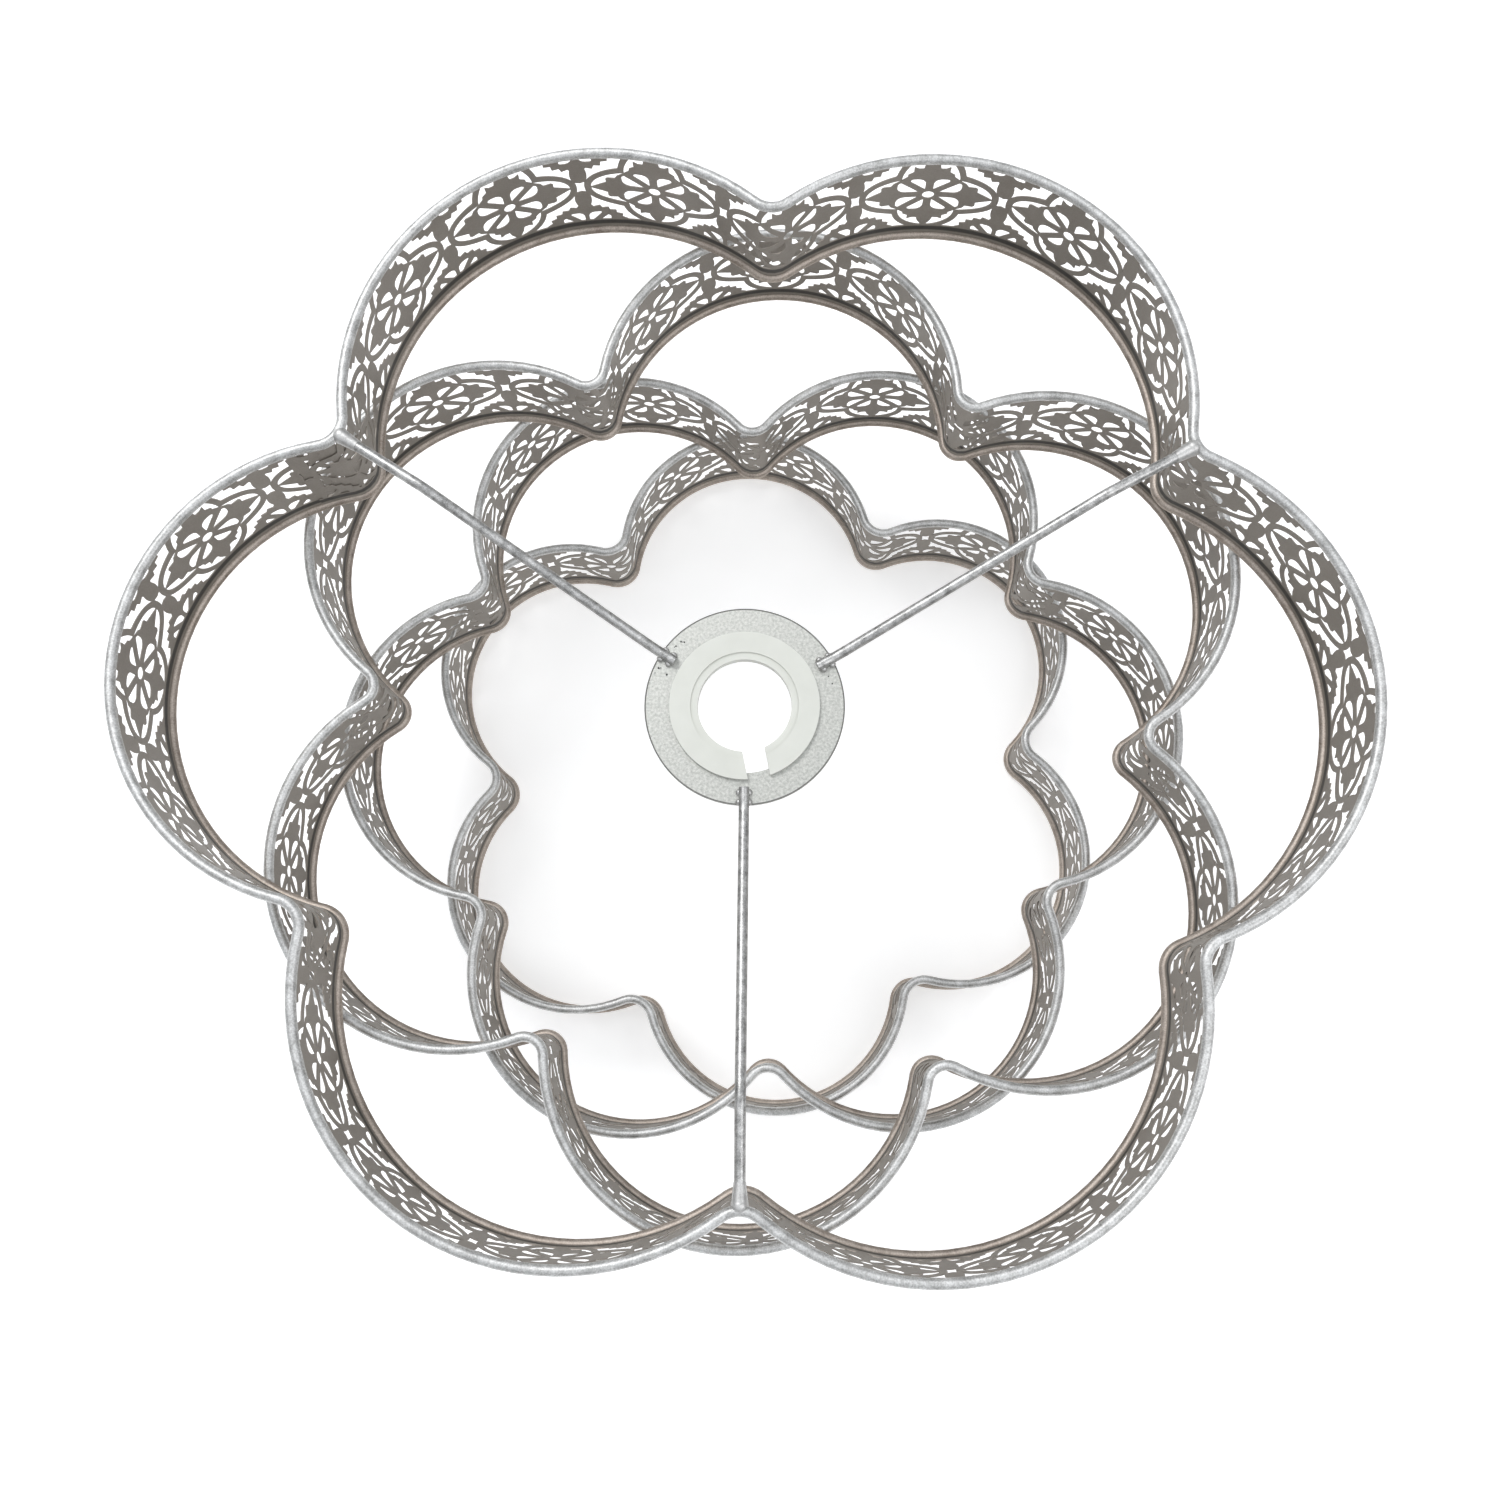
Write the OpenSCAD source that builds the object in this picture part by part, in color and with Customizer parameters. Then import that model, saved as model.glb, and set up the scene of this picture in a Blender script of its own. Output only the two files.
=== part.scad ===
// Flower-shaped pendant shade frame: four tiers of lobed wire rings with a pierced sheet-metal
// strip between them, hung from a three-spoke spider with a drop-in reducer ring.
// Millimetres, +Z up. The origin is on the lampholder axis, on the top face of the spider washer.

/* [Wire] */
// Diameter of the round steel wire of the rings and the spokes
wire_d = 3.2; // [2.4:0.1:4]
// How deep crossing wires sink into each other where they are resistance welded
weld_sink = 0.2; // [0.1:0.05:0.4]

/* [Tiers, top tier first] */
// Distance from the middle of the tiers to the centre of each lobe
lobe_centre_r = [103, 107, 93, 84]; // [70:1:120]
// Radius of the lobes, to the middle of the wire
lobe_r = [77, 60, 55, 48.5]; // [45:0.5:80]
// Radius of the inward bends between the lobes
bend_r = [8.5, 6, 7, 8]; // [4:0.5:12]
// Turn of each tier, about half a lobe on from the tier above it
tier_turn = [0, 28, 63, 95.5]; // [0:0.5:120]
// Height of each tier, from the middle of its top wire to the middle of its bottom wire
tier_h = 44; // [30:1:60]

// How far the middle of the tiers lies from the lampholder axis, the spider being set in by hand
tiers_offset = [4, 2.7]; // [0:0.1:6]

/* [Pulled lobe of the top tier] */
// Which lobe stands further out than the others, counted anticlockwise from +X
pulled_lobe = 3; // [1:1:5]
// How much further out its centre is
pulled_out = 17; // [0:1:18]
// How much smaller its radius is
pulled_tighter = 7.5; // [0:0.5:8]

/* [Strip] */
// Thickness of the sheet-metal strip
strip_t = 0.5; // [0.4:0.1:1]
// How far the strip's edges bite into the wires above and below it
strip_bite = 0.3; // [0.1:0.1:0.6]
// Length of the lap where the two ends of a strip are joined
lap_len = 18; // [8:1:30]

/* [Spider] */
// Outer diameter of the washer
washer_d = 62; // [56:1:70]
// Diameter of the washer's hole
washer_hole_d = 42; // [40:1:44]
// Thickness of the washer
washer_t = 1.5; // [1:0.1:2.5]
// How far the washer's top face lies below the middle of the top wire
spider_drop = 27; // [15:1:35]
// Distance from the axis to the inner end of a spoke
spoke_inner_r = 25.6; // [25:0.1:28]
// Length of the level stretch of a spoke on the washer
spoke_foot = 7.5; // [5:0.5:10]
// Length of the level stretch of a spoke at the ring
spoke_shoulder = 30; // [20:1:40]
// Radius of the bends in a spoke
spoke_bend_r = 16; // [8:1:24]

/* [Reducer ring] */
// Diameter of the hole that takes the lampholder
holder_hole_d = 29; // [28:0.5:30]
// Diameter of the flange that lies on the washer
flange_d = 46.4; // [45:0.2:50]
// Thickness of the flange
flange_t = 1.6; // [1:0.1:2.5]
// Depth of the plug that sits in the washer's hole
plug_depth = 2.5; // [2:0.1:4]
// Radial clearance between the plug and the washer's hole
plug_clearance = 0.2; // [0.1:0.05:0.5]
// Diameter of the shallow recess around the hole
recess_d = 33.5; // [31:0.5:38]
// Depth of that recess
recess_depth = 0.6; // [0.2:0.1:0.8]
// Width of the slot that lets the ring spring
slot_w = 7; // [3:0.5:9]
// Direction of the slot about the axis
slot_angle = -77; // [-180:1:180]

/* [Welds] */
// Radius of the bead where two tiers cross
cross_bead_r = 1.9; // [1.5:0.1:2.4]
// Radius of the bead where a spoke meets the ring
ring_bead_r = 2.5; // [2:0.1:3]
// Length of the tapered fillet from that bead along the spoke
ring_fillet_len = 6; // [3:0.5:10]
// Radius of the spot welds beside a spoke's foot
foot_bead_r = 1.1; // [0.8:0.1:1.5]

/* [Hidden] */

LOBES = 6;
LOBE_STEP = 360 / LOBES;
PULLED_TIER = 0;
SPOKE_BENDS = [0, 2, 4];
GAP = 0.05;
JOIN_LEN = 0.8;
JOIN_SWELL = 0.04;
$fn = 48;

TOP_WIRE = [0.80, 0.80, 0.79];
BOTTOM_WIRE = [0.62, 0.58, 0.53];
STRIP = [0.46, 0.44, 0.41];
GALVANISED = [0.78, 0.78, 0.76];
WELD = [0.55, 0.55, 0.54];
NATURAL_PLASTIC = [0.90, 0.91, 0.88];

wire_r = wire_d / 2;
tier_pitch = tier_h + wire_d - weld_sink;
washer_hole_r = washer_hole_d / 2;
spoke_foot_z = wire_r - weld_sink;

// Height of the middle of a tier's top wire and bottom wire
function top_z(t) = spider_drop - t * tier_pitch;
function bottom_z(t) = top_z(t) - tier_h;

// Point at a distance and a direction from the axis
function polar(r, a) = [r * cos(a), r * sin(a)];
// Direction of point q as seen from point p
function heading(p, q) = atan2(q.y - p.y, q.x - p.x);
// Anticlockwise turn from direction a to direction b, from 0 to 360
function turn(a, b) = b - a - 360 * floor((b - a) / 360);

// The crossing of two circles that is further from the axis
function outer_crossing(c1, r1, c2, r2) =
    let (d = norm(c2 - c1),
         along = (c2 - c1) / d,
         x = (d * d + r1 * r1 - r2 * r2) / (2 * d),
         y = sqrt(r1 * r1 - x * x),
         p = c1 + x * along + y * [along.y, -along.x],
         q = c1 + x * along - y * [along.y, -along.x])
    norm(p) > norm(q) ? p : q;

// One lobe of a tier: its centre and its radius
function is_pulled(t, k) = t == PULLED_TIER && (k + LOBES) % LOBES == pulled_lobe;
function lobe_centre(t, k) =
    tiers_offset
    + polar(lobe_centre_r[t] + (is_pulled(t, k) ? pulled_out : 0), tier_turn[t] + k * LOBE_STEP);
function lobe_radius(t, k) = lobe_r[t] - (is_pulled(t, k) ? pulled_tighter : 0);

// Centre of the bend between lobe k and the next one, whose circle touches both lobes
function bend_centre(t, k) =
    outer_crossing(lobe_centre(t, k), lobe_radius(t, k) + bend_r[t],
                   lobe_centre(t, k + 1), lobe_radius(t, k + 1) + bend_r[t]);
// Distance from the axis to the innermost point of that bend
function bend_reach(t, k) = norm(bend_centre(t, k)) - bend_r[t];

// Where lobe j of the tier below crosses lobe j or j + 1 of tier t
function crossing(t, j, side) =
    outer_crossing(lobe_centre(t, j + side), lobe_radius(t, j + side),
                   lobe_centre(t + 1, j), lobe_radius(t + 1, j));

// Sweeps a profile along lobe k: the profile's origin follows the outline
module along_lobe(t, k) {
    from = heading(lobe_centre(t, k), bend_centre(t, k - 1));
    to = heading(lobe_centre(t, k), bend_centre(t, k));
    translate(lobe_centre(t, k))
        rotate(from)
            rotate_extrude(angle = turn(from, to))
                translate([lobe_radius(t, k), 0])
                    children();
}

// Sweeps a profile along the bend after lobe k
module along_bend(t, k) {
    from = heading(bend_centre(t, k), lobe_centre(t, k + 1));
    to = heading(bend_centre(t, k), lobe_centre(t, k));
    translate(bend_centre(t, k))
        rotate(from)
            rotate_extrude(angle = turn(from, to))
                translate([bend_r[t], 0])
                    children();
}

// A short straight stretch where lobe k + side runs into the bend after lobe k
module at_join(t, k, side) {
    translate(bend_centre(t, k))
        rotate(heading(bend_centre(t, k), lobe_centre(t, k + side)))
            translate([bend_r[t], 0, 0])
                rotate([90, 0, 0])
                    linear_extrude(JOIN_LEN, center = true)
                        children();
}

// Sweeps the first profile round the whole outline of a tier, and the second, slightly larger
// one over each place where a lobe runs into a bend
module around_tier(t) {
    for (k = [0 : LOBES - 1]) {
        along_lobe(t, k) children(0);
        along_bend(t, k) children(0);
        for (side = [0, 1])
            at_join(t, k, side) children(1);
    }
}

module wire_ring(t) {
    around_tier(t) {
        circle(d = wire_d);
        circle(d = wire_d + 2 * JOIN_SWELL);
    }
}

module top_wire(t) {
    color(TOP_WIRE)
        translate([0, 0, top_z(t)])
            wire_ring(t);
}

module bottom_wire(t) {
    color(BOTTOM_WIRE)
        translate([0, 0, bottom_z(t)])
            wire_ring(t);
}

// The strip stands between the two wires; its free end laps the other end on the inside
module filigree_strip(t) {
    strip_h = tier_h - wire_d + 2 * strip_bite;
    lap_r = lobe_radius(t, pulled_lobe) - strip_t;
    lap_turn = lap_len / lap_r * 180 / PI;
    lap_from = heading(lobe_centre(t, pulled_lobe), bend_centre(t, pulled_lobe - 1));
    color(STRIP)
        translate([0, 0, (top_z(t) + bottom_z(t)) / 2]) {
            around_tier(t) {
                square([strip_t, strip_h], center = true);
                square([strip_t + 2 * JOIN_SWELL, strip_h + 2 * JOIN_SWELL], center = true);
            }
            translate(lobe_centre(t, pulled_lobe))
                rotate(lap_from)
                    rotate_extrude(angle = lap_turn)
                        translate([lap_r, 0])
                            square([strip_t, tier_h - wire_d - 1], center = true);
        }
}

module spider_washer() {
    color(GALVANISED)
        translate([0, 0, -washer_t])
            difference() {
                cylinder(d = washer_d, h = washer_t);
                translate([0, 0, -1])
                    cylinder(d = washer_hole_d, h = washer_t + 2);
            }
}

// A bend in a spoke about the origin, from +X towards +Y, with a join at each end
module spoke_arc(angle) {
    rotate_extrude(angle = angle)
        translate([spoke_bend_r, 0])
            circle(d = wire_d);
    for (a = [0, angle])
        rotate(a)
            translate([spoke_bend_r, 0, 0])
                rotate([90, 0, 0])
                    cylinder(d = wire_d + 2 * JOIN_SWELL, h = JOIN_LEN, center = true);
}

// A straight stretch of a spoke along +X
module spoke_run(len) {
    rotate([0, 90, 0])
        cylinder(d = wire_d, h = len);
}

// A spoke runs level over the washer, climbs to the height of the ring and runs level to it
module spoke(k) {
    outer_r = bend_reach(0, k) - wire_r + strip_bite;
    low_r = spoke_inner_r + spoke_foot;
    high_r = outer_r - spoke_shoulder;
    rise = spider_drop - spoke_foot_z;
    climb = atan2(rise, high_r - low_r);
    trim = spoke_bend_r * tan(climb / 2);
    slope_len = norm([high_r - low_r, rise]) - 2 * trim;
    color(GALVANISED)
        rotate(heading([0, 0], bend_centre(0, k)))
            translate([low_r, 0, spoke_foot_z])
                rotate([90, 0, 0]) {
                    translate([-spoke_foot, 0, 0])
                        spoke_run(spoke_foot - trim);
                    translate([-trim, spoke_bend_r, 0])
                        rotate(-90)
                            spoke_arc(climb);
                    rotate(climb)
                        translate([trim, 0, 0])
                            spoke_run(slope_len);
                    translate([high_r - low_r + trim, rise - spoke_bend_r, 0])
                        rotate(90)
                            spoke_arc(climb);
                    translate([high_r - low_r + trim, rise, 0])
                        spoke_run(spoke_shoulder - trim);
                }
}

// A bead where the spoke meets the ring, drawn out into a fillet along the spoke
module ring_to_spoke_welds() {
    color(WELD)
        for (k = SPOKE_BENDS)
            rotate(heading([0, 0], bend_centre(0, k)))
                translate([bend_reach(0, k) - wire_r, 0, spider_drop]) {
                    sphere(r = ring_bead_r);
                    rotate([0, -90, 0])
                        cylinder(r1 = ring_bead_r * 0.98, r2 = wire_r + 0.15, h = ring_fillet_len);
                }
}

// Two spot welds on each side of each spoke's foot
module washer_to_spoke_welds() {
    color(WELD)
        for (k = SPOKE_BENDS, side = [-1, 1], along = [1.5, 4.5])
            rotate(heading([0, 0], bend_centre(0, k)))
                translate([spoke_inner_r + along, side * (wire_r - 0.1), 0.3])
                    sphere(r = foot_bead_r);
}

// Beads at the crossings between tier t and the tier below it
module tier_welds(t) {
    color(WELD)
        for (j = [0 : LOBES - 1], side = [0, 1])
            translate([crossing(t, j, side).x, crossing(t, j, side).y, bottom_z(t) - wire_r + weld_sink / 2])
                sphere(r = cross_bead_r);
}

// A split plastic ring: flange on top, plug below, shallow recess around the hole
module reducer_ring() {
    plug_r = washer_hole_r - plug_clearance;
    color(NATURAL_PLASTIC)
        difference() {
            rotate_extrude()
                polygon([[holder_hole_d / 2, -plug_depth],
                         [plug_r, -plug_depth],
                         [plug_r, GAP],
                         [flange_d / 2, GAP],
                         [flange_d / 2, flange_t],
                         [recess_d / 2, flange_t],
                         [recess_d / 2, flange_t - recess_depth],
                         [holder_hole_d / 2, flange_t - recess_depth]]);
            rotate(slot_angle)
                translate([0, -slot_w / 2, -plug_depth - 1])
                    cube([flange_d, slot_w, plug_depth + flange_t + 2]);
        }
}

top_wire(0);  // tier_1_top_wire
filigree_strip(0);  // tier_1_filigree_strip
bottom_wire(0);  // tier_1_bottom_wire
top_wire(1);  // tier_2_top_wire
filigree_strip(1);  // tier_2_filigree_strip
bottom_wire(1);  // tier_2_bottom_wire
top_wire(2);  // tier_3_top_wire
filigree_strip(2);  // tier_3_filigree_strip
bottom_wire(2);  // tier_3_bottom_wire
top_wire(3);  // tier_4_top_wire
filigree_strip(3);  // tier_4_filigree_strip
bottom_wire(3);  // tier_4_bottom_wire
spider_washer();
spoke(0);  // spoke_right
spoke(2);  // spoke_left
spoke(4);  // spoke_front
ring_to_spoke_welds();
washer_to_spoke_welds();
tier_welds(0);  // tier_1_to_2_welds
tier_welds(1);  // tier_2_to_3_welds
tier_welds(2);  // tier_3_to_4_welds
reducer_ring();
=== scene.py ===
"""Looks of a tiered, flower-shaped pendant lampshade frame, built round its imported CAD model.

The CAD model holds the wires, the spider and the reducer ring. This script replaces its plain
strips with pierced filigree, gives every piece its material, and sets the camera and the light.
Lengths in the design sections are in millimetres; what goes into Blender is in metres.
"""

import math

import bmesh
import bpy
import numpy as np
from mathutils import Matrix, Vector
from mathutils.geometry import delaunay_2d_cdt


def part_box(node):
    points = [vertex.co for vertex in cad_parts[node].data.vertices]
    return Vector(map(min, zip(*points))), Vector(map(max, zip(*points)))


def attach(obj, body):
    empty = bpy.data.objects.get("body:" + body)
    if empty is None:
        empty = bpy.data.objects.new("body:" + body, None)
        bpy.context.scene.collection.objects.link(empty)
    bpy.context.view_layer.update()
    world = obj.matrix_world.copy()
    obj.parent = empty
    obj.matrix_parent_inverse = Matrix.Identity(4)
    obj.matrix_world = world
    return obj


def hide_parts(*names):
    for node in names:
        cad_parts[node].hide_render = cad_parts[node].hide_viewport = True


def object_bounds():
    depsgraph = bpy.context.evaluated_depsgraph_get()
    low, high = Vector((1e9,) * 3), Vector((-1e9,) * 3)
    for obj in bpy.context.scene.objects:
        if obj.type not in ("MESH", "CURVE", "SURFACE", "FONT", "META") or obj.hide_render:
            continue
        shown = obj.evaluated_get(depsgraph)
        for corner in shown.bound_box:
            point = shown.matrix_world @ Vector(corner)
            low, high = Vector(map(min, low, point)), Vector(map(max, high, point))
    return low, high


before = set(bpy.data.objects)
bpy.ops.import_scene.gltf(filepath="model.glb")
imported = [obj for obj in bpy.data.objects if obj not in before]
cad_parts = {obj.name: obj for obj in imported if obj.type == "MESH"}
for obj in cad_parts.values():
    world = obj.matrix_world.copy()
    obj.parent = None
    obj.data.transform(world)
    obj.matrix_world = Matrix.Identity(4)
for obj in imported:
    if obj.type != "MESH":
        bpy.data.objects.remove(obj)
cad_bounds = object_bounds()

MM = 0.001

# ---------------------------------------------------------------- tiers, as the part's design has them

LOBES = 6
LOBE_STEP = 360 / LOBES
LOBE_CENTRE_R = [103, 107, 93, 84]
LOBE_R = [77, 60, 55, 48.5]
BEND_R = [8.5, 6, 7, 8]
TIER_TURN = [0, 28, 63, 95.5]
TIERS_OFFSET = np.array([4, 2.7])
PULLED_TIER, PULLED_LOBE, PULLED_OUT, PULLED_TIGHTER = 0, 3, 17, 7.5
WIRE_D = 3.2
STRIP_BITE = 0.3


def polar(r, degrees):
    """The point at distance r from the axis in the given direction."""
    a = math.radians(degrees)
    return np.array([r * math.cos(a), r * math.sin(a)])


def heading(p, q):
    """Direction from p to q in radians."""
    return math.atan2(q[1] - p[1], q[0] - p[0])


def outer_crossing(c1, r1, c2, r2):
    """The crossing of two circles that is further from the axis."""
    d = np.linalg.norm(c2 - c1)
    along = (c2 - c1) / d
    x = (d * d + r1 * r1 - r2 * r2) / (2 * d)
    y = math.sqrt(r1 * r1 - x * x)
    side = np.array([along[1], -along[0]])
    p, q = c1 + x * along + y * side, c1 + x * along - y * side
    return p if np.linalg.norm(p) > np.linalg.norm(q) else q


class Outline:
    """A tier's outline, anticlockwise from the start of lobe 0, as arcs of lobes and of bends."""

    def __init__(self, tier):
        centres, radii = [], []
        for k in range(LOBES):
            pulled = tier == PULLED_TIER and k == PULLED_LOBE
            out = PULLED_OUT if pulled else 0
            place = polar(LOBE_CENTRE_R[tier] + out, TIER_TURN[tier] + k * LOBE_STEP)
            centres.append(TIERS_OFFSET + place)
            radii.append(LOBE_R[tier] - (PULLED_TIGHTER if pulled else 0))
        b = BEND_R[tier]
        bends = []
        for k in range(LOBES):
            j = (k + 1) % LOBES
            bends.append(outer_crossing(centres[k], radii[k] + b, centres[j], radii[j] + b))
        self.arcs = []
        for k in range(LOBES):
            start = heading(centres[k], bends[k - 1])
            sweep = (heading(centres[k], bends[k]) - start) % (2 * math.pi)
            self.arcs.append((centres[k], radii[k], start, sweep))
            start = heading(bends[k], centres[k])
            sweep = -((start - heading(bends[k], centres[(k + 1) % LOBES])) % (2 * math.pi))
            self.arcs.append((bends[k], b, start, sweep))
        lengths = [r * abs(sweep) for _, r, _, sweep in self.arcs]
        self.ends = np.cumsum(lengths)
        self.starts = self.ends - lengths
        self.length = self.ends[-1]

    def bend(self, k):
        """Distance along the outline to the middle of the bend after lobe k."""
        return (self.starts[2 * k + 1] + self.ends[2 * k + 1]) / 2

    def at(self, s):
        """Points on the outline at distances s, and the outward normals there."""
        s = np.asarray(s) % self.length
        which = np.minimum(np.searchsorted(self.ends, s, side="right"), len(self.arcs) - 1)
        centre = np.array([a[0] for a in self.arcs])[which]
        radius = np.array([a[1] for a in self.arcs])[which]
        start = np.array([a[2] for a in self.arcs])[which]
        way = np.sign([a[3] for a in self.arcs])[which]
        angle = start + way * (s - self.starts[which]) / radius
        radial = np.stack([np.cos(angle), np.sin(angle)], axis=1)
        return centre + radius[:, None] * radial, way[:, None] * radial


# ---------------------------------------------------------------- shapes that the pattern is made of

# Each gives a field over the flat strip, positive inside the shape and negative outside it, that is
# about the distance to the shape's edge.

# Keeps a division by zero out
TINY = 1e-12


def disc(u, v, cu, cv, r):
    """Field of a disc about (cu, cv)."""
    return r - np.hypot(u - cu, v - cv)


def lens(u, v, a, b, n):
    """Field of a quarter of a superellipse of power n, with half axes a along u and b along v."""
    k = ((u / a) ** n + (v / b) ** n) ** (1 / n) + TINY
    slope = np.hypot((u / a) ** (n - 1) / a, (v / b) ** (n - 1) / b) / k ** (n - 1) + TINY
    return (1 - k) / slope


def unit(vector):
    """The vector at length 1."""
    return vector / np.linalg.norm(vector)


def rounded(corners, steps=6):
    """The outline through corners (u, v, radius), each rounded by an arc of its radius."""
    out = []
    for i, (x, y, r) in enumerate(corners):
        p = np.array([x, y])
        to_last = unit(np.array(corners[i - 1][:2]) - p)
        to_next = unit(np.array(corners[(i + 1) % len(corners)][:2]) - p)
        half = math.acos(to_last @ to_next) / 2
        middle = unit(to_last + to_next)
        centre = p + middle * r / math.sin(half)
        first = p + to_last * r / math.tan(half) - centre
        last = p + to_next * r / math.tan(half) - centre
        start = math.atan2(first[1], first[0])
        turn = (math.atan2(last[1], last[0]) - start + math.pi) % (2 * math.pi) - math.pi
        for t in np.linspace(0, 1, steps):
            a = start + turn * t
            out.append(centre + r * np.array([math.cos(a), math.sin(a)]))
    return np.array(out)


def polygon(u, v, corners):
    """Field of a polygon."""
    nearest = np.full(u.shape, np.inf)
    inside = np.zeros(u.shape, bool)
    for (x0, y0), (x1, y1) in zip(corners, np.roll(corners, -1, axis=0)):
        ex, ey = x1 - x0, y1 - y0
        t = np.clip(((u - x0) * ex + (v - y0) * ey) / (ex * ex + ey * ey + TINY), 0, 1)
        nearest = np.minimum(nearest, np.hypot(u - x0 - t * ex, v - y0 - t * ey))
        if y0 != y1:
            crosses = ((y0 > v) != (y1 > v)) & (u < ex * (v - y0) / ey + x0)
            inside ^= crosses
    return np.where(inside, nearest, -nearest)


# ---------------------------------------------------------------- filigree pattern

# Length of one repeat, and how far its flower lies below the middle of the top wire
CELL = 48.0
PATTERN_DROP = 19.5
# How far the pattern rises from a flower to a star
BOW = 1.3
# The upper edge of the pattern is drawn out a little
DRAWN_FROM, DRAWN_OVER, DRAWN_BY = 8.0, 9.0, 1.8
# A quarter of the four-leaved body, from the tip of the upright leaf to the tip of the level leaf
LEAVES = [(0, 18.6), (1.2, 17.2), (2.3, 15.2), (2.7, 13.5), (4.3, 13.5), (5.8, 14.2), (5.7, 12.1),
          (7.4, 11.1), (7.5, 10.0), (8.55, 9.1), (10.3, 7.6), (11.7, 6.7), (12.4, 5.3), (14.9, 5.4),
          (15.6, 4.6), (15.5, 2.8), (17.3, 1.9), (20.9, 0)]
# Corners that close that quarter well past its two straight sides
PAST_THE_LEAVES = [(25, -8), (-8, -8), (-8, 18.6)]
# One petal hole beside the upright rib and one beside the level rib, and the hole in the middle
UPRIGHT_PETAL = [(1.3, 2.7, 0.15), (1.3, 8.7, 2.6), (7.9, 8.7, 1.0)]
LEVEL_PETAL = [(3.05, 1.3, 0.15), (10.3, 1.3, 2.8), (10.3, 7.3, 1.3), (9.5, 7.15, 0.2)]
HOLE_V, HOLE_R = -0.2, 1.95
# The band round a flower: two round loops, and a lens that lies level
LOOP_OFF, LOOP_R, BAND = 8.8, 9.2, 2.0
LENS_A, LENS_B, LENS_POWER, LENS_BAND_FACTOR = 20.6, 9.4, 2.2, 1.25
# The rosettes on the strip's edges, which are cut off level, and their petal holes
ROSETTE_HIGH, ROSETTE_LOW = 24.9, 23.9
ROSETTE_TIP_R, ROSETTE_NOTCH_R, TEETH_STEP, TOOTH_PEAK = 14.8, 13.6, 12.0, 0.62
ROSETTE_UPRIGHT_PETAL = [(0.75, 3.9, 0.2), (0.75, 10.2, 2.3), (5.9, 10.2, 0.6)]
ROSETTE_LEVEL_PETAL = [(2.7, 3.6, 0.2), (8.0, 3.6, 0.2), (8.0, 8.1, 1.0), (7.1, 8.1, 0.3)]
# The petals of the upper rosettes sit a little lower in them
UPPER_PETALS_DROP = 0.8
# The post from a rosette to a star
POST_HALF, POST_BULGE, POST_FROM, POST_LEN = 2.05, 0.75, 3.0, 8.0
# The four-pointed star
STAR_HALF_W, STAR_WAIST, STAR_HALF_H, STAR_NOTCH = 1.6, 1.2, 2.9, 0.6
# Heights of the strip's solid edges, from the flower
SELVAGE_LOW, SELVAGE_HIGH = -18.4, 17.4


def flower(au, v):
    """The quatrefoil band and, inside it, four leaves with a flower cut out of them."""
    av = np.abs(v)
    inner = np.maximum(disc(au, av, 0, LOOP_OFF, LOOP_R), lens(au, av, LENS_A, LENS_B, LENS_POWER))
    outer = np.maximum(disc(au, av, 0, LOOP_OFF, LOOP_R + BAND),
                       lens(au, av, LENS_A + BAND, LENS_B + BAND * LENS_BAND_FACTOR, LENS_POWER))
    leaves = np.minimum(polygon(au, av, np.array(LEAVES + PAST_THE_LEAVES, float)), outer)
    petals = np.maximum(polygon(au, av, rounded(UPRIGHT_PETAL)), polygon(au, av, rounded(LEVEL_PETAL)))
    holes = np.maximum(petals, disc(au, v, 0, HOLE_V, HOLE_R))
    return np.maximum(np.minimum(outer, -inner), np.minimum(leaves, -holes))


def rosettes(fu, v):
    """Field of the rosettes with their posts, and of the petal holes in them."""
    along = np.clip((np.abs(v - BOW) - POST_FROM) / POST_LEN, 0, 1)
    post = POST_HALF + POST_BULGE * np.sin(math.pi * along) - fu
    rise = np.where(v > 0, ROSETTE_HIGH, ROSETTE_LOW) - np.abs(v)
    tooth = np.degrees(np.arctan2(fu, rise)) % TEETH_STEP / TEETH_STEP
    peak = np.minimum(tooth / TOOTH_PEAK, (1 - tooth) / (1 - TOOTH_PEAK))
    rosette = ROSETTE_NOTCH_R + (ROSETTE_TIP_R - ROSETTE_NOTCH_R) * peak - np.hypot(fu, rise)
    rise = rise - np.where(v > 0, UPPER_PETALS_DROP, 0)
    petals = np.maximum(polygon(fu, rise, rounded(ROSETTE_UPRIGHT_PETAL)),
                        polygon(fu, rise, rounded(ROSETTE_LEVEL_PETAL)))
    return np.maximum(rosette, post), petals


def star(fu, v):
    """Field of the star-shaped hole."""
    half_w = STAR_WAIST + (STAR_HALF_W - STAR_WAIST) * (v / STAR_HALF_H) ** 2
    half_h = STAR_HALF_H - STAR_NOTCH * (1 - np.clip(fu / STAR_HALF_W, 0, 1))
    return np.minimum(half_w - fu, half_h - np.abs(v))


def filigree(u, height):
    """Field of the metal. u is 0 at a flower and half a cell at a star; the flower is at height 0."""
    au = np.abs(u)
    fu = CELL / 2 - au
    v = height - DRAWN_BY * np.maximum((height - DRAWN_FROM) / DRAWN_OVER, 0) ** 2
    metal = flower(au, v - BOW * (u / (CELL / 2)) ** 2)
    rosette, petals = rosettes(fu, v)
    metal = np.maximum(metal, np.minimum(rosette, -petals))
    selvages = np.maximum(SELVAGE_LOW - height, height - SELVAGE_HIGH)
    return np.minimum(np.maximum(metal, selvages), -star(fu, v - BOW))


# ---------------------------------------------------------------- from the pattern to flat triangles

# Step of the grid that the pattern is traced on, and how far a traced edge may be straightened
GRID = 0.2
FLAT_TOLERANCE = 0.03
# Spacing of the points inside the metal, and how near an edge they may come, in spacings
INNER_SPACING = 2.4
EDGE_CLEARANCE = 0.3
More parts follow.
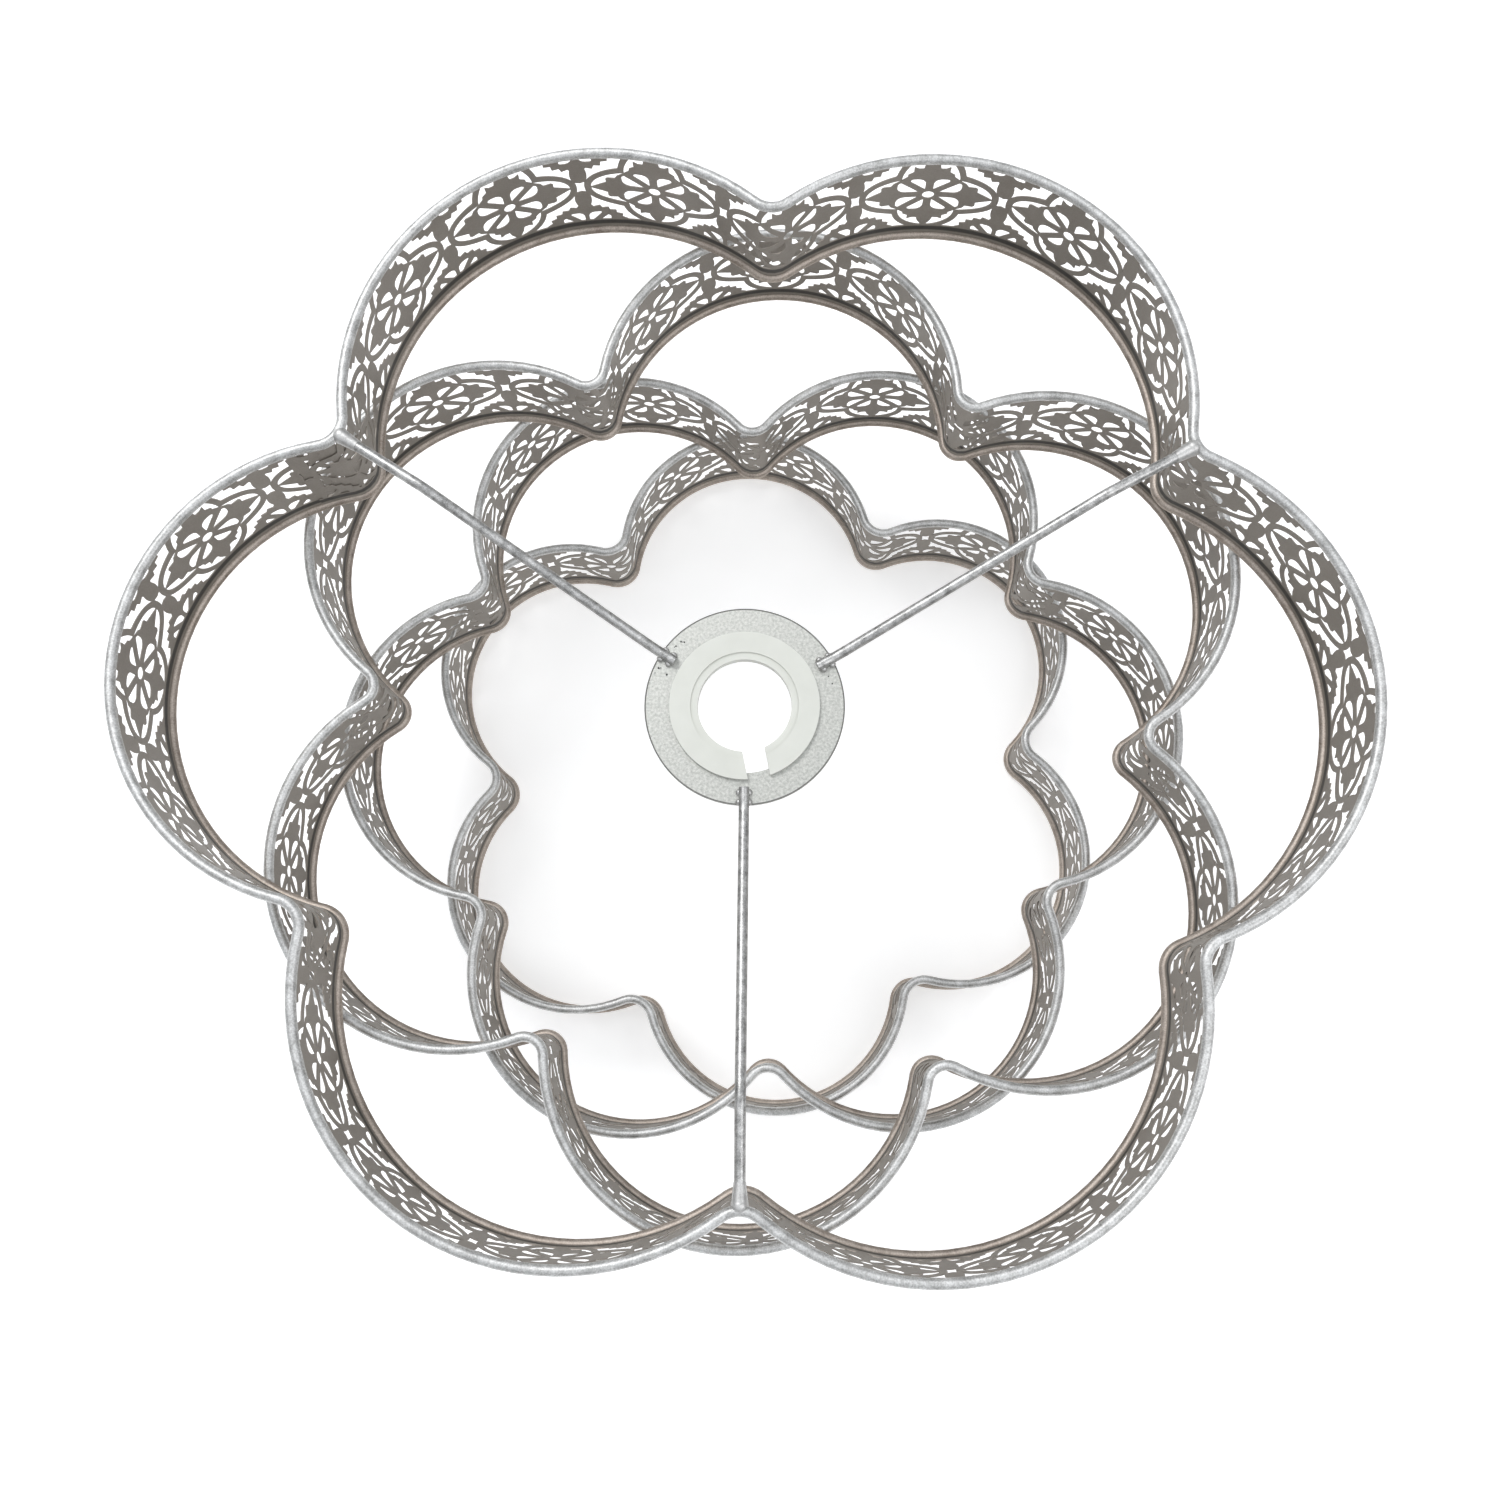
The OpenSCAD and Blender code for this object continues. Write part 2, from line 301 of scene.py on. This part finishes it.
# How close two points are taken as one, within a repeat and where two repeats meet
SAME_POINT = 1e-5
CELL_SEAM = 0.01


def joined_across(field, corners, crossing):
    """Pairs of crossings that the edge of the metal joins across one square of the grid."""
    cuts = []
    for n in range(4):
        a, b = sorted((corners[n], corners[(n + 1) % 4]))
        if (field[a] > 0) != (field[b] > 0):
            cuts.append(crossing(a, b))
    if len(cuts) == 2:
        return [cuts]
    middle = sum(field[c] for c in corners) > 0
    if (field[corners[0]] > 0) == middle:
        return [cuts[:2], cuts[2:]]
    return [(cuts[3], cuts[0]), cuts[1:3]]


def chains(links):
    """Runs of linked numbers, open ones first. A closed run ends with the number it starts with."""
    runs, left = [], set(links)
    for first in sorted(links, key=lambda p: (len(links[p]), p)):
        if first not in left:
            continue
        run = [first]
        left.discard(first)
        while True:
            onward = [p for p in links[run[-1]] if p in left]
            if not onward:
                break
            run.append(onward[0])
            left.discard(onward[0])
        if len(run) > 2 and first in links[run[-1]]:
            run.append(first)
        if len(run) > 1:
            runs.append(run)
    return runs


def contours(field, us, vs):
    """Polylines along which the field is zero, closed or ending on the grid's border."""
    points, index, links = [], {}, {}

    def crossing(a, b):
        if (a, b) not in index:
            t = field[a] / (field[a] - field[b])
            index[a, b] = len(points)
            points.append((us[a[0]] + t * (us[b[0]] - us[a[0]]),
                           vs[a[1]] + t * (vs[b[1]] - vs[a[1]])))
        return index[a, b]

    inside = (field > 0).astype(int)
    corner_sum = inside[:-1, :-1] + inside[1:, :-1] + inside[:-1, 1:] + inside[1:, 1:]
    for i, j in zip(*np.nonzero((corner_sum > 0) & (corner_sum < 4))):
        corners = [(i, j), (i + 1, j), (i + 1, j + 1), (i, j + 1)]
        for a, b in joined_across(field, corners, crossing):
            links.setdefault(a, []).append(b)
            links.setdefault(b, []).append(a)
    return [np.array([points[p] for p in run]) for run in chains(links)]


def simplified(line, tolerance):
    """The polyline with the points left out that lie within the tolerance of what is kept."""
    keep = np.zeros(len(line), bool)
    keep[[0, -1]] = True
    stack = [(0, len(line) - 1)]
    if np.allclose(line[0], line[-1]):
        far = int(np.argmax(np.hypot(*(line - line[0]).T)))
        keep[far] = True
        stack = [(0, far), (far, len(line) - 1)]
    while stack:
        a, b = stack.pop()
        if b - a < 2:
            continue
        length = np.linalg.norm(line[b] - line[a])
        along = (line[b] - line[a]) / (length + TINY)
        off = line[a + 1 : b] - line[a]
        away = np.abs(off[:, 0] * along[1] - off[:, 1] * along[0])
        worst = int(np.argmax(away))
        if away[worst] > tolerance or length > INNER_SPACING:
            m = a + 1 + worst if away[worst] > tolerance else (a + b) // 2
            keep[m] = True
            stack += [(a, m), (m, b)]
    return line[keep]


def filigree_cell(v_low, v_high):
    """One repeat of the pattern as flat triangles: points (u, v) and triples of their numbers."""
    us = np.linspace(-CELL / 2, CELL / 2, int(round(CELL / GRID)) + 1)
    vs = np.linspace(v_low - GRID, v_high + GRID, int(round((v_high - v_low) / GRID)) + 3)
    u, v = np.meshgrid(us, vs, indexing="ij")

    def metal(u, v):
        return np.minimum(filigree(u, v), np.minimum(v - v_low, v_high - v))

    field = metal(u, v)
    points, edges = [], []
    for line in contours(field, us, vs):
        line = simplified(line, FLAT_TOLERANCE)
        closed = np.allclose(line[0], line[-1])
        first = len(points)
        points += [Vector(p) for p in (line[:-1] if closed else line)]
        count = len(points) - first
        edges += [(first + i, first + i + 1) for i in range(count - 1)]
        if closed:
            edges.append((first + count - 1, first))
    rows = np.arange(v_low + INNER_SPACING / 2, v_high, INNER_SPACING)
    columns = np.linspace(-CELL / 2, CELL / 2, int(CELL / INNER_SPACING) + 1)
    gu, gv = (a.ravel() for a in np.meshgrid(columns, rows, indexing="ij"))
    fits = metal(gu, gv) > INNER_SPACING * EDGE_CLEARANCE
    points += [Vector(p) for p in zip(gu[fits], gv[fits])]
    flat, _, faces, *_ = delaunay_2d_cdt(points, edges, [], 0, SAME_POINT)
    flat = np.array([tuple(p) for p in flat])
    faces = np.array(faces)
    middle = flat[faces].mean(axis=1)
    return flat, faces[metal(middle[:, 0], middle[:, 1]) > 0]


def merged_cells(cell, start, end, star_at, pitch):
    """Flat points and triangles of a strip from start to end, with a star at distance star_at."""
    flat, faces = cell
    first = math.floor((start - star_at) / pitch)
    last = math.ceil((end - star_at) / pitch)
    mesh = bmesh.new()
    for k in range(first, last):
        middle = star_at + (k + 0.5) * pitch
        verts = [mesh.verts.new((u * pitch / CELL + middle, v, 0)) for u, v in flat]
        for a, b, c in faces:
            mesh.faces.new((verts[a], verts[b], verts[c]))
    bmesh.ops.remove_doubles(mesh, verts=mesh.verts, dist=CELL_SEAM)
    for at, way in ((start, -1), (end, 1)):
        everything = list(mesh.verts) + list(mesh.edges) + list(mesh.faces)
        bmesh.ops.bisect_plane(mesh, geom=everything, plane_co=(at, 0, 0), plane_no=(way, 0, 0),
                               clear_outer=True)
    bmesh.ops.triangulate(mesh, faces=mesh.faces)
    loose = [v for v in mesh.verts if not v.link_faces]
    bmesh.ops.delete(mesh, geom=loose, context="VERTS")
    mesh.verts.index_update()
    points = np.array([(v.co.x, v.co.y) for v in mesh.verts])
    triangles = np.array([[v.index for v in f.verts] for f in mesh.faces])
    mesh.free()
    return points, triangles


# ---------------------------------------------------------------- the four strips

STRIP_NODES = [f"tier_{t + 1}_filigree_strip" for t in range(len(LOBE_R))]
SHEET_T = 0.3
# Length of each strip's lap, after which bend it lies and how far before that bend the strip starts
LAP = [22, 14, 14, 14]
LAP_BEND = [2, 4, 4, 3]
LAP_BEFORE = [4, 8, 8, 8]
# Length over which the inner end steps in behind the outer one, and the gap between them
LAP_EASE, LAP_GAP = 6.0, 0.06
# How far along its outline each strip has one of its stars, and how far apart its stars are
STAR_AT = [599.5, 1184.6, 1006.1, 695.4]
PITCH = [48.0, 49.3, 49.4, 49.4]


def new_piece(name, points, faces, smooth_angle=35):
    """A mesh object from points in millimetres, smooth-shaded where its faces meet gently."""
    mesh = bpy.data.meshes.new(name)
    corners = [tuple(p) for p in np.asarray(points) * MM]
    mesh.from_pydata(corners, [], [tuple(int(i) for i in f) for f in faces])
    mesh.validate()
    mesh.shade_smooth()
    mesh.set_sharp_from_angle(angle=math.radians(smooth_angle))
    piece = bpy.data.objects.new(name, mesh)
    bpy.context.scene.collection.objects.link(piece)
    return piece


def closed_sheet(triangles, n):
    """Faces of a closed sheet: an outer layer of n points, an inner one and the walls between."""
    sides = np.concatenate([triangles[:, [0, 1]], triangles[:, [1, 2]], triangles[:, [2, 0]]])
    seen = {tuple(side) for side in sides}
    rim = sorted((a, b) for a, b in seen if (b, a) not in seen)
    faces = [(a, b, c) for a, b, c in triangles]
    faces += [(c + n, b + n, a + n) for a, b, c in triangles]
    faces += [(b, a, a + n, b + n) for a, b in rim]
    return faces


def flower_height(node):
    """Height of the flowers' middles on the strip that a node holds, in millimetres."""
    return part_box(node)[1].z / MM + WIRE_D / 2 - STRIP_BITE - PATTERN_DROP


def bent_strip(t, cell):
    """A tier's pierced strip, bent along the outline, its far end lapping inside its near end."""
    outline = Outline(t)
    start = outline.bend(LAP_BEND[t]) - LAP_BEFORE[t]
    end = start + outline.length + LAP[t]
    flat, triangles = merged_cells(cell, start, end, STAR_AT[t], PITCH[t])
    s, v = flat[:, 0], flat[:, 1]
    place, outward = outline.at(s)
    into_lap = np.clip((s - (end - LAP[t] - LAP_EASE)) / LAP_EASE, 0, 1)
    shift = -(SHEET_T + LAP_GAP) * into_lap * into_lap * (3 - 2 * into_lap)
    z = flower_height(STRIP_NODES[t]) + v
    outer, inner = [np.column_stack([place + outward * (shift + side * SHEET_T)[:, None], z])
                    for side in (0.5, -0.5)]
    piece = new_piece(f"filigree_{t + 1}", np.concatenate([outer, inner]), closed_sheet(triangles, len(s)))
    # the painted shade on the inner face, a dark line where the strip meets its lower wire, is placed by
    # its height from the flowers; the outer face has none
    height = piece.data.attributes.new("height", "FLOAT", "POINT")
    height.data.foreach_set("value", np.concatenate([np.zeros(len(s)), v]).astype(np.float32))
    return piece


def build_strips():
    """The four filigree strips, each standing for its plain CAD band."""
    low, high = (corner.z / MM - flower_height(STRIP_NODES[0]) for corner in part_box(STRIP_NODES[0]))
    cell = filigree_cell(low, high)
    pieces = []
    for t, node in enumerate(STRIP_NODES):
        piece = bent_strip(t, cell)
        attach(piece, "shade_frame")
        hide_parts(node)
        pieces.append(piece)
    return pieces


# ---------------------------------------------------------------- materials

# Nearly all of a noise texture lies between these values
NOISE_LOW, NOISE_HIGH = 0.3, 0.7


class Shader:
    """A material's node tree with a few calls to build it."""

    def __init__(self, name):
        self.material = bpy.data.materials.new(name)
        self.material.use_nodes = True
        self.tree = self.material.node_tree
        self.surface = self.tree.nodes["Principled BSDF"]
        self.where = self.node("ShaderNodeTexCoord").outputs["Object"]

    def node(self, kind, **values):
        """A new node with its properties or, with _ for a space, its inputs set."""
        made = self.tree.nodes.new(kind)
        for key, value in values.items():
            if hasattr(made, key):
                setattr(made, key, value)
            else:
                made.inputs[key.replace("_", " ")].default_value = value
        return made

    def join(self, source, target):
        """Links one socket to another."""
        self.tree.links.new(source, target)

    def noise(self, size_mm, detail=3.0, roughness=0.55):
        """Noise over the object with spots of about the given size."""
        made = self.node("ShaderNodeTexNoise", Scale=1 / (size_mm * MM), Detail=detail,
                         Roughness=roughness)
        self.join(self.where, made.inputs["Vector"])
        return made.outputs["Fac"]

    def ramp(self, source, *stops):
        """The source as a colour, by stops of a value and a colour."""
        made = self.node("ShaderNodeValToRGB")
        elements = made.color_ramp.elements
        while len(elements) < len(stops):
            elements.new(0.5)
        for element, (at, colour) in zip(elements, stops):
            element.position = at
            element.color = (*colour, 1)
        self.join(source, made.inputs["Fac"])
        return made.outputs["Color"]

    def rescaled(self, source, low, high, from_low=NOISE_LOW, from_high=NOISE_HIGH):
        """The source's range from from_low to from_high, stretched to run from low to high."""
        made = self.node("ShaderNodeMapRange", From_Min=from_low, From_Max=from_high,
                         To_Min=low, To_Max=high)
        self.join(source, made.inputs["Value"])
        return made.outputs["Result"]

    def two_tones(self, source, dark, light):
        """A noise as a colour from dark to light."""
        return self.ramp(source, (NOISE_LOW, dark), (NOISE_HIGH, light))

    def mix(self, factor, a, b):
        """Colour a with b laid over it by the factor. Each is a socket or a fixed value."""
        made = self.node("ShaderNodeMix", data_type="RGBA")
        for socket, source in (("Factor", factor), ("A", a), ("B", b)):
            target = [s for s in made.inputs if s.name == socket and s.enabled][0]
            if hasattr(source, "default_value"):
                self.join(source, target)
            else:
                target.default_value = source if isinstance(source, float) else (*source, 1)
        return [s for s in made.outputs if s.enabled][0]

    def bump(self, source, depth_mm):
        """Makes the surface uneven by the source."""
        made = self.node("ShaderNodeBump", Strength=1.0, Distance=depth_mm * MM)
        self.join(source, made.inputs["Height"])
        self.join(made.outputs["Normal"], self.surface.inputs["Normal"])

    def finish(self, colour=None, roughness=None, **fixed):
        """The material, with its colour, roughness and fixed inputs set."""
        if colour is not None:
            self.join(colour, self.surface.inputs["Base Color"])
        if roughness is not None:
            self.join(roughness, self.surface.inputs["Roughness"])
        for key, value in fixed.items():
            self.surface.inputs[key.replace("_", " ")].default_value = value
        return self.material


# Sizes of the patches, the pits and the grain on plated steel, as multiples of its spots
PATCHES, PITS, GRAIN = 3.0, 0.5, 0.3
# How much of the colour is the grain's, where the noise is darkest and lightest, and the pits' depth
GRAIN_SHARE, DARK_AT, LIGHT_AT, PIT_DEPTH = 0.45, 0.35, 0.65, 0.05


def wire_metal(name, dark, light, rough_low, rough_high, spot_mm=1.6):
    """Plated steel: mottled patches, fine grain and a slightly uneven surface."""
    s = Shader(name)
    patches = s.noise(spot_mm * PATCHES, detail=5.0, roughness=0.65)
    grain = s.noise(spot_mm * GRAIN, detail=2.0)
    tones = [s.ramp(source, (DARK_AT, dark), (LIGHT_AT, light)) for source in (patches, grain)]
    s.bump(s.noise(spot_mm * PITS), PIT_DEPTH)
    colour = s.mix(GRAIN_SHARE, *tones)
    return s.finish(colour, s.rescaled(patches, rough_low, rough_high), Metallic=1.0)


# Heights from the flowers between which the painted contact shade lies, and how much of it there is across
# them
PAINTED_SHADE_LOW, PAINTED_SHADE_HIGH = -22.0, -18.0
PAINTED_SHADE_STOPS = [(0.10, 0.0), (0.28, 0.85), (0.70, 0.85), (0.86, 0.0)]


def sheet_metal():
    """Matt grey-brown sheet with faint stains, and a dark line of painted shade above its lower wire,
    inside, where the strip meets the wire.
    """
    s = Shader("filigree_sheet")
    stains = s.noise(14.0, detail=4.0)
    grain = s.noise(0.5, detail=2.0)
    base = s.two_tones(stains, (0.225, 0.200, 0.172), (0.300, 0.274, 0.242))
    colour = s.mix(0.25, base, s.two_tones(grain, (0.20, 0.18, 0.155), (0.34, 0.31, 0.28)))
    height = s.node("ShaderNodeAttribute", attribute_name="height").outputs["Fac"]
    level = s.rescaled(height, 0.0, 1.0, PAINTED_SHADE_LOW, PAINTED_SHADE_HIGH)
    painted_shade = s.ramp(level, *[(at, (amount,) * 3) for at, amount in PAINTED_SHADE_STOPS])
    s.bump(grain, 0.01)
    # the near-black colour is painted shade, laid over the sheet's inner face just above its lower wire
    return s.finish(s.mix(painted_shade, colour, (0.012, 0.013, 0.012)), s.rescaled(stains, 0.42, 0.58),
                    Metallic=0.35)


def plastic():
    """Natural translucent plastic with faint flow marks."""
    s = Shader("reducer_plastic")
    flow = s.noise(9.0, detail=2.0)
    colour = s.two_tones(flow, (0.66, 0.67, 0.62), (0.70, 0.71, 0.66))
    s.bump(s.noise(0.8), 0.01)
    s.surface.inputs["Subsurface Radius"].default_value = (1, 1, 1)
    return s.finish(colour, s.rescaled(flow, 0.42, 0.52), Subsurface_Weight=0.35, Subsurface_Scale=MM)


def burnt_scale():
    """Black scale burnt off beside a weld."""
    s = Shader("burnt_scale")
    return s.finish(s.two_tones(s.noise(0.3), (0.01, 0.01, 0.01), (0.05, 0.05, 0.045)), Roughness=0.7)


def rim_shade_metal():
    """Near-black metal for the washer's pressed rim: painted shade along its edge."""
    s = Shader("washer_edge_shade")
    # near-black tones, as painted shade on the washer's rim
    return s.finish(s.two_tones(s.noise(0.8), (0.112, 0.112, 0.104), (0.14, 0.14, 0.13)), Roughness=0.55)


def assign(piece, material):
    """Gives a piece its one material."""
    piece.data.materials.clear()
    piece.data.materials.append(material)


# ---------------------------------------------------------------- small marks on the washer

# Directions of the feet with specks beside them, and how many each has
SPECKS = [(148, 9), (30, 2)]
SPECK_SEED = 5
# How far to the side of the foot and how far from the axis they lie, and no further than the limit
SPECK_ASIDE, SPECK_ALONG, SPECK_LIMIT = (3.2, 7.0), (25.5, 29.0), 30.0
# A speck's radius, how uneven its rim is, its corners, and the heights of its top and rim
SPECK_R, SPECK_UNEVEN, SPECK_CORNERS = (0.18, 0.42), (0.6, 1.2), 8
SPECK_TOP, SPECK_RIM = 0.10, 0.01
# The ring of painted shade on the washer's rim: distances from the axis and heights along its profile
RIM_SHADE_PROFILE = [(30.55, 0.0), (30.75, 0.05), (30.95, 0.03), (31.0, -0.2)]
RIM_SHADE_STEPS = 144


def burn_specks():
    """Specks of burnt scale on the washer beside the left spoke's foot, and a few by the right one."""
    rng = np.random.default_rng(SPECK_SEED)
    points, faces = [], []
    for direction, count in SPECKS:
        for _ in range(count):
            aside = rng.uniform(*SPECK_ASIDE) * rng.choice([-1, 1])
            along = rng.uniform(*SPECK_ALONG)
            r = rng.uniform(*SPECK_R)
            middle = polar(along, direction) + polar(aside, direction + 90)
            if np.linalg.norm(middle) > SPECK_LIMIT:
                middle *= SPECK_LIMIT / np.linalg.norm(middle)
            top = len(points)
            points.append((*middle, SPECK_TOP))
            for k in range(SPECK_CORNERS):
                corner = middle + polar(r * rng.uniform(*SPECK_UNEVEN), 360 / SPECK_CORNERS * k)
                points.append((*corner, SPECK_RIM))
            faces += [(top, top + 1 + k, top + 1 + (k + 1) % SPECK_CORNERS) for k in range(SPECK_CORNERS)]
    piece = new_piece("burn_specks", points, faces, smooth_angle=80)
    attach(piece, "shade_frame")
    assign(piece, burnt_scale())


def washer_rim_shade():
    """A thin dark ring over the washer's pressed rim: painted shade along its edge."""
    points, faces = [], []
    for k in range(RIM_SHADE_STEPS):
        direction = 360 * k / RIM_SHADE_STEPS
        points += [(*polar(r, direction), z) for r, z in RIM_SHADE_PROFILE]
    n = len(RIM_SHADE_PROFILE)
    for k in range(RIM_SHADE_STEPS):
        a, b = k * n, (k + 1) % RIM_SHADE_STEPS * n
        faces += [(a + i, a + i + 1, b + i + 1, b + i) for i in range(n - 1)]
    piece = new_piece("washer_rim_shade", points, faces, smooth_angle=60)
    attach(piece, "shade_frame")
    assign(piece, rim_shade_metal())


# ---------------------------------------------------------------- who wears what


def cad_looks():
    """The materials of the CAD nodes, each with the word in a node's name that asks for it."""
    return [
        ("welds", wire_metal("weld_metal", (0.42, 0.415, 0.405), (0.76, 0.76, 0.75),
                             0.36, 0.52, spot_mm=0.8)),
        ("top_wire", wire_metal("galvanised_wire", (0.36, 0.36, 0.35), (0.82, 0.825, 0.82),
                                0.42, 0.58)),
        ("bottom_wire", wire_metal("aged_wire", (0.31, 0.26, 0.22), (0.64, 0.575, 0.515),
                                   0.44, 0.60)),
        ("spoke", wire_metal("spoke_steel", (0.16, 0.16, 0.155), (0.78, 0.78, 0.77),
                             0.30, 0.46, spot_mm=0.9)),
        ("washer", wire_metal("washer_steel", (0.28, 0.285, 0.265), (0.70, 0.705, 0.67),
                              0.36, 0.52, spot_mm=0.28)),
        ("reducer", plastic()),
    ]


def dress(strips):
    """Gives the strips and the CAD nodes their materials. A node takes the first look it asks for."""
    sheet = sheet_metal()
    for piece in strips:
        assign(piece, sheet)
    looks = cad_looks()
    for name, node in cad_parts.items():
        asked = [material for word, material in looks if word in name]
        if asked:
            assign(node, asked[0])


# ---------------------------------------------------------------- floor, light and camera

FLOOR_SIZE, FLOOR_GAP, FLOOR_GLOW = 60, 0.0005, 0.42
# Colours of the world at and below the horizon, and high in the sky
SKY_LOW, SKY_HIGH = (0.30, 0.30, 0.31), (0.92, 0.94, 0.97)
SKY_HIGH_AT = 0.85
LIT_POINT = (0, 0, -0.05)


def build_stage():
    """A plain pale floor just below the part. It glows a little, as a lit studio floor does."""
    floor_z = cad_bounds[0][2] - FLOOR_GAP
    bpy.ops.mesh.primitive_plane_add(size=FLOOR_SIZE, location=(0, 0, floor_z))
    floor = bpy.context.object
    floor.name = "floor"
    s = Shader("floor")
    pale = s.two_tones(s.noise(400.0, detail=1.0), (0.86, 0.86, 0.86), (0.88, 0.88, 0.88))
    s.finish(pale, Roughness=0.9, Emission_Color=(1, 1, 1, 1), Emission_Strength=FLOOR_GLOW)
    assign(floor, s.material)


def area_light(name, place, size, watts):
    """A round soft light that shines on the part."""
    light = bpy.data.lights.new(name, "AREA")
    light.shape = "DISK"
    light.size = size
    light.energy = watts
    lamp = bpy.data.objects.new(name, light)
    lamp.location = place
    lamp.rotation_euler = (Vector(LIT_POINT) - Vector(place)).to_track_quat("-Z", "Y").to_euler()
    bpy.context.scene.collection.objects.link(lamp)


def build_light():
    """A world that is dim below and bright above, a key light behind on the left and a fill light."""
    world = bpy.data.worlds.new("studio")
    bpy.context.scene.world = world
    world.use_nodes = True
    nodes, links = world.node_tree.nodes, world.node_tree.links
    split = nodes.new("ShaderNodeSeparateXYZ")
    sky = nodes.new("ShaderNodeValToRGB")
    for stop, at, colour in zip(sky.color_ramp.elements, (0.0, SKY_HIGH_AT), (SKY_LOW, SKY_HIGH)):
        stop.position = at
        stop.color = (*colour, 1)
    links.new(nodes.new("ShaderNodeTexCoord").outputs["Generated"], split.inputs["Vector"])
    links.new(split.outputs["Z"], sky.inputs["Fac"])
    links.new(sky.outputs["Color"], nodes["Background"].inputs["Color"])
    area_light("key", (-0.7, 0.9, 1.5), size=0.9, watts=12)
    area_light("fill", (1.1, -0.5, 1.3), size=1.2, watts=5)
    bpy.context.scene.view_settings.view_transform = "Standard"


# The point that the camera looks at, its distance from there and its angles
CAMERA_TARGET = (2.1, -13.8, 0)
CAMERA_DISTANCE = 444.3
CAMERA_TILT, CAMERA_TURN, CAMERA_ROLL = 10.1, 6.7, 1.8
FOCAL_PX, IMAGE_PX, SENSOR_MM = 1447, 1500, 36
CLIP_START = 0.01


def build_camera():
    """The camera, almost straight above the part, tilted and turned a little."""
    t, a, r = (math.radians(x) for x in (CAMERA_TILT, CAMERA_TURN, CAMERA_ROLL))
    back = Vector((math.sin(t) * math.sin(a), -math.sin(t) * math.cos(a), math.cos(t)))
    right = Vector((0, 1, 0)).cross(back).normalized()
    up = back.cross(right)
    right, up = (math.cos(r) * right + math.sin(r) * up,
                 math.cos(r) * up - math.sin(r) * right)
    place = (Vector(CAMERA_TARGET) + CAMERA_DISTANCE * back) * MM
    camera = bpy.data.objects.new("camera", bpy.data.cameras.new("camera"))
    camera.matrix_world = Matrix.Translation(place) @ Matrix((right, up, back)).transposed().to_4x4()
    camera.data.sensor_width = SENSOR_MM
    camera.data.lens = FOCAL_PX / IMAGE_PX * SENSOR_MM
    camera.data.clip_start = CLIP_START
    bpy.context.scene.collection.objects.link(camera)
    bpy.context.scene.camera = camera


dress(build_strips())
washer_rim_shade()
burn_specks()
build_stage()
build_light()
build_camera()

bpy.context.view_layer.update()
